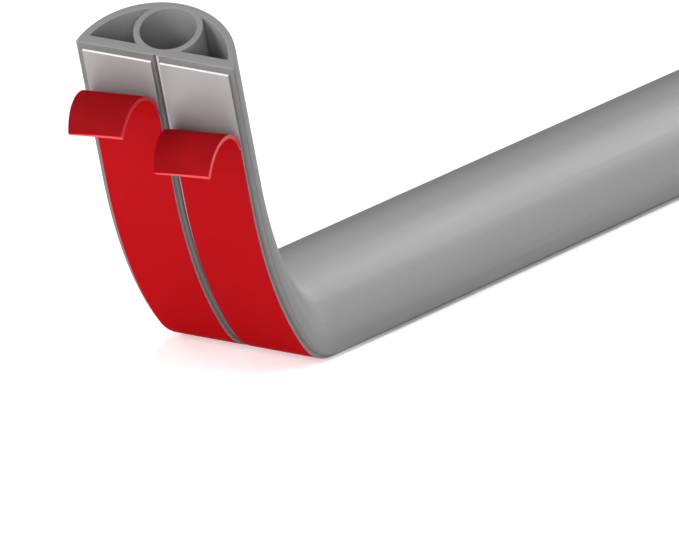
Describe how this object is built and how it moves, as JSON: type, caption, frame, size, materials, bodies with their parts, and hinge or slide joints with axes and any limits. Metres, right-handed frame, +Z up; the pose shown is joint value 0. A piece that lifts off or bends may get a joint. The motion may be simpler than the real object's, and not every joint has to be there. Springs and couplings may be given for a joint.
{
  "type": "floor cord cover",
  "caption": "Arched floor cord cover with a round channel and two side chambers, adhesive tapes with release liners underneath, one end bent up off the floor.",
  "frame": {"origin": "middle of the part's length and of the cover's width, on the floor", "axes": "+X along the straight tail, away from the bent-up end; +Y across the cover; +Z up from the floor"},
  "size_m": [0.9814, 0.0461, 0.1064],
  "materials": {
    "cover_pvc": "satin extruded soft PVC",
    "foam_tape": "closed-cell foam tape with a tacky adhesive face",
    "liner_film": "smooth red release film"
  },
  "bodies": {
    "root": {"cover_body": "cover_pvc", "adhesive_tape_left": "foam_tape", "adhesive_tape_right": "foam_tape", "release_liner_left": "liner_film", "release_liner_right": "liner_film"}
  },
  "joints": []
}
